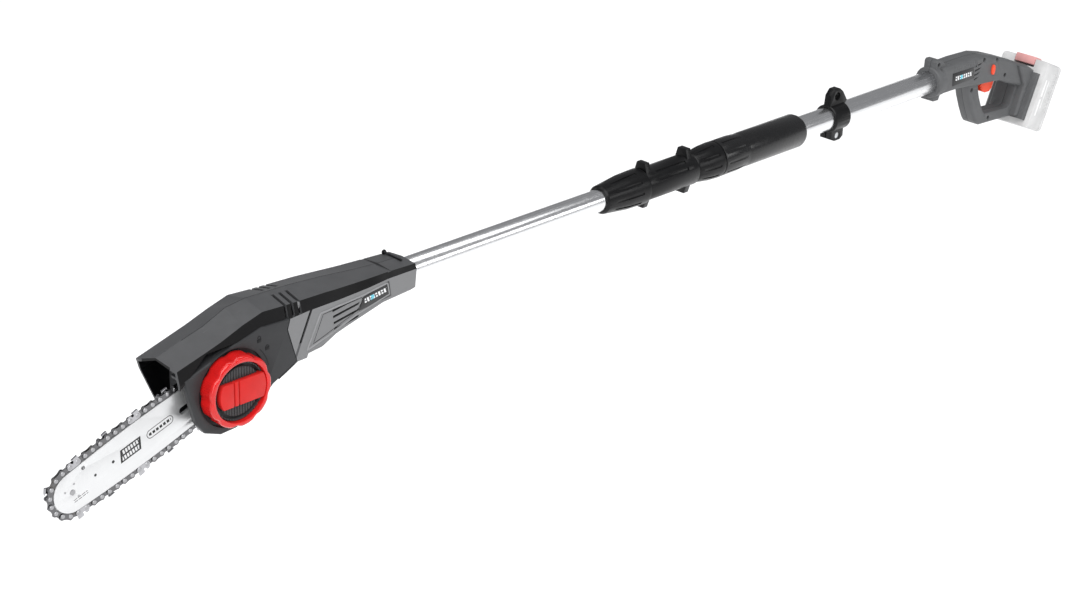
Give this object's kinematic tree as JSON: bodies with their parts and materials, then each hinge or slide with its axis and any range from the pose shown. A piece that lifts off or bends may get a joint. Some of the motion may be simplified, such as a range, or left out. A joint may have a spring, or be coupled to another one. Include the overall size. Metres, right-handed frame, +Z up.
{
  "type": "telescoping pole saw",
  "caption": "Cordless pole saw: a chain saw head on a telescoping tube with twist locks, a strap ring, a D-shaped trigger handle and a slide-on battery.",
  "frame": {"origin": "centre of the carrying-strap eye above the outer tube", "axes": "+X along the pole towards the handle and battery, +Y away from the sprocket cover, +Z up with the D handle below the tube"},
  "size_m": [1.6943, 0.088, 0.1731],
  "materials": {
    "charcoal_plastic": "satin textured",
    "black_plastic": "satin",
    "red_plastic": "gloss",
    "orange_plastic": "gloss",
    "bare_aluminium": "drawn",
    "cast_aluminium": "cast",
    "bar_steel": "brushed",
    "chain_steel": "polished",
    "plated_steel": "zinc plated",
    "motor_steel": "plated",
    "motor_copper": "wound",
    "clear_tank": "translucent",
    "pale_plastic": "satin",
    "pale_red": "satin",
    "label_print": "printed",
    "cell_wrap": "shrink wrap"
  },
  "bodies": {
    "pole_base": {"outer_tube": "bare_aluminium", "coupling_sleeve": "black_plastic", "front_collet": "black_plastic", "grip_sleeve": "black_plastic", "strap_ring": "black_plastic", "strap_screw": "plated_steel", "strap_nut": "plated_steel", "rear_shell_left": "charcoal_plastic", "rear_shell_right": "charcoal_plastic", "rear_screws": "plated_steel", "rear_label": "label_print", "trigger_spring": "plated_steel", "switch_box": "black_plastic", "terminal_block": "black_plastic"},
    "front_nut": {"front_lock_nut": "black_plastic"},
    "rear_nut": {"rear_lock_nut": "black_plastic"},
    "saw_head": {"inner_tube": "bare_aluminium", "tube_end_bush": "black_plastic", "head_shell_left": "charcoal_plastic", "head_shell_right": "charcoal_plastic", "sprocket_cover": "charcoal_plastic", "head_label": "label_print", "lock_marks": "black_plastic", "head_screws": "plated_steel", "bar_plate": "plated_steel", "bar_stud": "plated_steel", "gear_case": "cast_aluminium", "shaft_bearings": "chain_steel", "motor_can": "motor_steel", "motor_magnets": "motor_steel", "motor_bearings": "chain_steel", "oil_tank": "clear_tank", "guide_bar": "bar_steel", "nose_rivets": "chain_steel", "drive_links": "chain_steel", "tie_straps": "chain_steel", "cutters_left": "chain_steel", "cutters_right": "chain_steel", "chain_rivets": "chain_steel", "tension_pin": "plated_steel"},
    "drive": {"output_shaft": "chain_steel", "drive_gear": "chain_steel", "drive_sprocket": "chain_steel", "sprocket_clip": "plated_steel"},
    "rotor": {"motor_armature": "motor_copper", "motor_shaft": "chain_steel", "pinion": "chain_steel"},
    "nose_wheel": {"nose_sprocket": "chain_steel"},
    "tensioner": {"tension_wheel": "red_plastic", "tension_cam": "plated_steel"},
    "cover_knob": {"lock_knob": "black_plastic", "lock_grip": "red_plastic", "lock_nut": "plated_steel"},
    "oil_filler_cap": {"oil_cap": "black_plastic"},
    "trigger": {"trigger": "orange_plastic"},
    "lock_off": {"lock_off_button": "orange_plastic"},
    "battery": {"battery_case": "pale_plastic", "battery_lid": "pale_plastic", "battery_cells": "cell_wrap"},
    "latch": {"battery_latch": "pale_red"}
  },
  "joints": [
    {"name": "pole_extend", "type": "slide", "parent": "pole_base", "child": "saw_head", "axis": [-1, 0, 0], "range_m": [-0.27, 0.15]},
    {"name": "front_nut_twist", "type": "hinge", "parent": "pole_base", "child": "front_nut", "pos_m": [-0.402, 0, -0.0285], "axis": [1, 0, 0], "range_deg": [0, 90]},
    {"name": "rear_nut_twist", "type": "hinge", "parent": "pole_base", "child": "rear_nut", "pos_m": [-0.258, 0, -0.0285], "axis": [1, 0, 0], "range_deg": [0, 90]},
    {"name": "sprocket_spin", "type": "hinge", "parent": "saw_head", "child": "drive", "pos_m": [-0.95118, 0, -0.05559], "axis": [0, 1, 0], "continuous": true},
    {"name": "rotor_spin", "type": "hinge", "parent": "saw_head", "child": "rotor", "pos_m": [-0.95118, 0.0069, -0.05559], "axis": [0.9781, 0, 0.2079], "continuous": true},
    {"name": "nose_spin", "type": "hinge", "parent": "saw_head", "child": "nose_wheel", "pos_m": [-1.18469, -0.0106, -0.13101], "axis": [0, 1, 0], "continuous": true},
    {"name": "tension_turn", "type": "hinge", "parent": "saw_head", "child": "tensioner", "pos_m": [-1.002, -0.03, -0.072], "axis": [0, 1, 0], "range_deg": [0, 300]},
    {"name": "knob_turn", "type": "hinge", "parent": "saw_head", "child": "cover_knob", "pos_m": [-1.002, -0.03, -0.072], "axis": [0, 1, 0], "range_deg": [0, 720]},
    {"name": "oil_cap_turn", "type": "hinge", "parent": "saw_head", "child": "oil_filler_cap", "pos_m": [-1.004, 0.036, -0.0505], "axis": [0, 1, 0], "range_deg": [0, 180]},
    {"name": "trigger_press", "type": "slide", "parent": "pole_base", "child": "trigger", "axis": [0, 0, 1], "range_m": [0, 0.005], "stiffness_N_per_m": 400, "springref_m": -0.004, "deforming": ["trigger_spring"]},
    {"name": "lock_off_slide", "type": "slide", "parent": "pole_base", "child": "lock_off", "axis": [0, 1, 0], "range_m": [0, 0.004], "stiffness_N_per_m": 300, "springref_m": -0.003},
    {"name": "battery_slide", "type": "slide", "parent": "pole_base", "child": "battery", "axis": [0.3987, 0, 0.9171], "range_m": [0, 0.08]},
    {"name": "latch_press", "type": "slide", "parent": "battery", "child": "latch", "axis": [-0.3987, 0, -0.9171], "range_m": [0, 0.0025], "stiffness_N_per_m": 500, "springref_m": -0.002}
  ],
  "couplings": [
    {"joint": "rotor_spin", "follows": "sprocket_spin", "ratio": -4},
    {"joint": "nose_spin", "follows": "sprocket_spin", "ratio": 0.66667}
  ]
}
